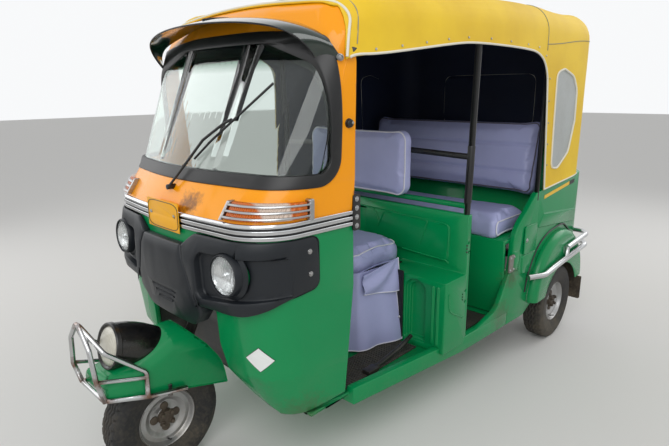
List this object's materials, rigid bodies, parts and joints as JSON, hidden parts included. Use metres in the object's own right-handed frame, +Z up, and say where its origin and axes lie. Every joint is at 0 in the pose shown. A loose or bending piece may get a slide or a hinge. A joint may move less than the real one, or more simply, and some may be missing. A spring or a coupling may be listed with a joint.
{
  "type": "auto rickshaw",
  "caption": "Three-wheeled passenger carrier with a steered front wheel, an open cab, a bench under a canvas hood and a rear engine lid.",
  "frame": {"origin": "middle of the box's underside, on the ground", "axes": "+Z up, front towards -Y, the vehicle's left side on +X"},
  "size_m": [1.348, 2.5852, 1.704],
  "materials": {
    "tyre": "black ribbed rubber",
    "rim": "silver paint, dark rusty hub",
    "green_paint": "emerald green gloss paint",
    "orange_paint": "orange-yellow gloss paint",
    "yellow_plate": "blank yellow plate",
    "dark_plastic": "dark grey moulded plastic",
    "black_metal": "black paint",
    "chrome": "bright plated steel with rust at the joints",
    "rubber": "black rubber",
    "glass": "clear glass with a green tint",
    "visor_green": "dark green see-through plastic",
    "headlamp_glass": "fluted clear glass over a bowl",
    "amber": "amber lens with a clear end",
    "red_lens": "red lens",
    "canvas": "mustard yellow coated canvas with white piping",
    "clear_film": "clear flexible sheet",
    "vinyl": "lavender grey vinyl with white piping",
    "engine_metal": "plain block at the engine"
  },
  "bodies": {
    "root": {"belt_strips": "chrome", "bench_base": "green_paint", "brake_pedal": "black_metal", "dash_panel": "dark_plastic", "driver_backrest": "vinyl", "driver_cushion": "vinyl", "driver_seat_base": "vinyl", "engine_block": "engine_metal", "floor_mats": "rubber", "floor_pan": "green_paint", "front_cowl_lower": "green_paint", "front_cowl_upper": "orange_paint", "front_face_panel": "dark_plastic", "front_plate": "yellow_plate", "hand_lever": "black_metal", "head_tube": "black_metal", "headlamps": "headlamp_glass", "hood_back": "canvas", "hood_canvas": "canvas", "hood_frame": "black_metal", "hood_sides": "canvas", "hood_windows": "clear_film", "indicator_guards": "chrome", "indicator_lamps": "amber", "mud_flaps": "rubber", "partition": "green_paint", "passenger_backrest": "vinyl", "passenger_cushion": "vinyl", "quarter_left": "green_paint", "quarter_right": "green_paint", "rear_arms": "black_metal", "rear_bumper": "chrome", "rear_fenders": "green_paint", "rear_frame": "black_metal", "rear_panel": "green_paint", "side_panel_right": "green_paint", "sun_visor": "visor_green", "tail_lamps": "red_lens", "wheel_house": "black_metal", "windscreen_gasket": "rubber", "windscreen_glass": "glass", "wiper": "black_metal"},
    "steering": {"steering_column": "black_metal", "handlebar_grips": "rubber", "front_fork": "black_metal", "front_mudguard": "green_paint", "mudguard_lamp": "black_metal", "mudguard_guard": "chrome"},
    "front_wheel": {"front_wheel_rim": "rim", "front_wheel_tyre": "tyre"},
    "rear_left_wheel": {"rear_left_wheel_rim": "rim", "rear_left_wheel_tyre": "tyre"},
    "rear_right_wheel": {"rear_right_wheel_rim": "rim", "rear_right_wheel_tyre": "tyre"},
    "engine_lid": {"engine_lid": "green_paint"}
  },
  "joints": [
    {"name": "steering_turn", "type": "hinge", "parent": "root", "child": "steering", "pos_m": [0, -1.041, 0.203], "axis": [0, 0.4384, 0.8988], "range_deg": [-40, 40]},
    {"name": "front_wheel_spin", "type": "hinge", "parent": "steering", "child": "front_wheel", "pos_m": [0, -1.041, 0.203], "axis": [1, 0, 0], "continuous": true},
    {"name": "rear_left_wheel_spin", "type": "hinge", "parent": "root", "child": "rear_left_wheel", "pos_m": [0.575, 0.959, 0.203], "axis": [1, 0, 0], "continuous": true},
    {"name": "rear_right_wheel_spin", "type": "hinge", "parent": "root", "child": "rear_right_wheel", "pos_m": [-0.575, 0.959, 0.203], "axis": [1, 0, 0], "continuous": true},
    {"name": "engine_lid_hinge", "type": "hinge", "parent": "root", "child": "engine_lid", "pos_m": [0, 1.255, 0.804], "axis": [1, 0, 0], "range_deg": [0, 80]}
  ]
}
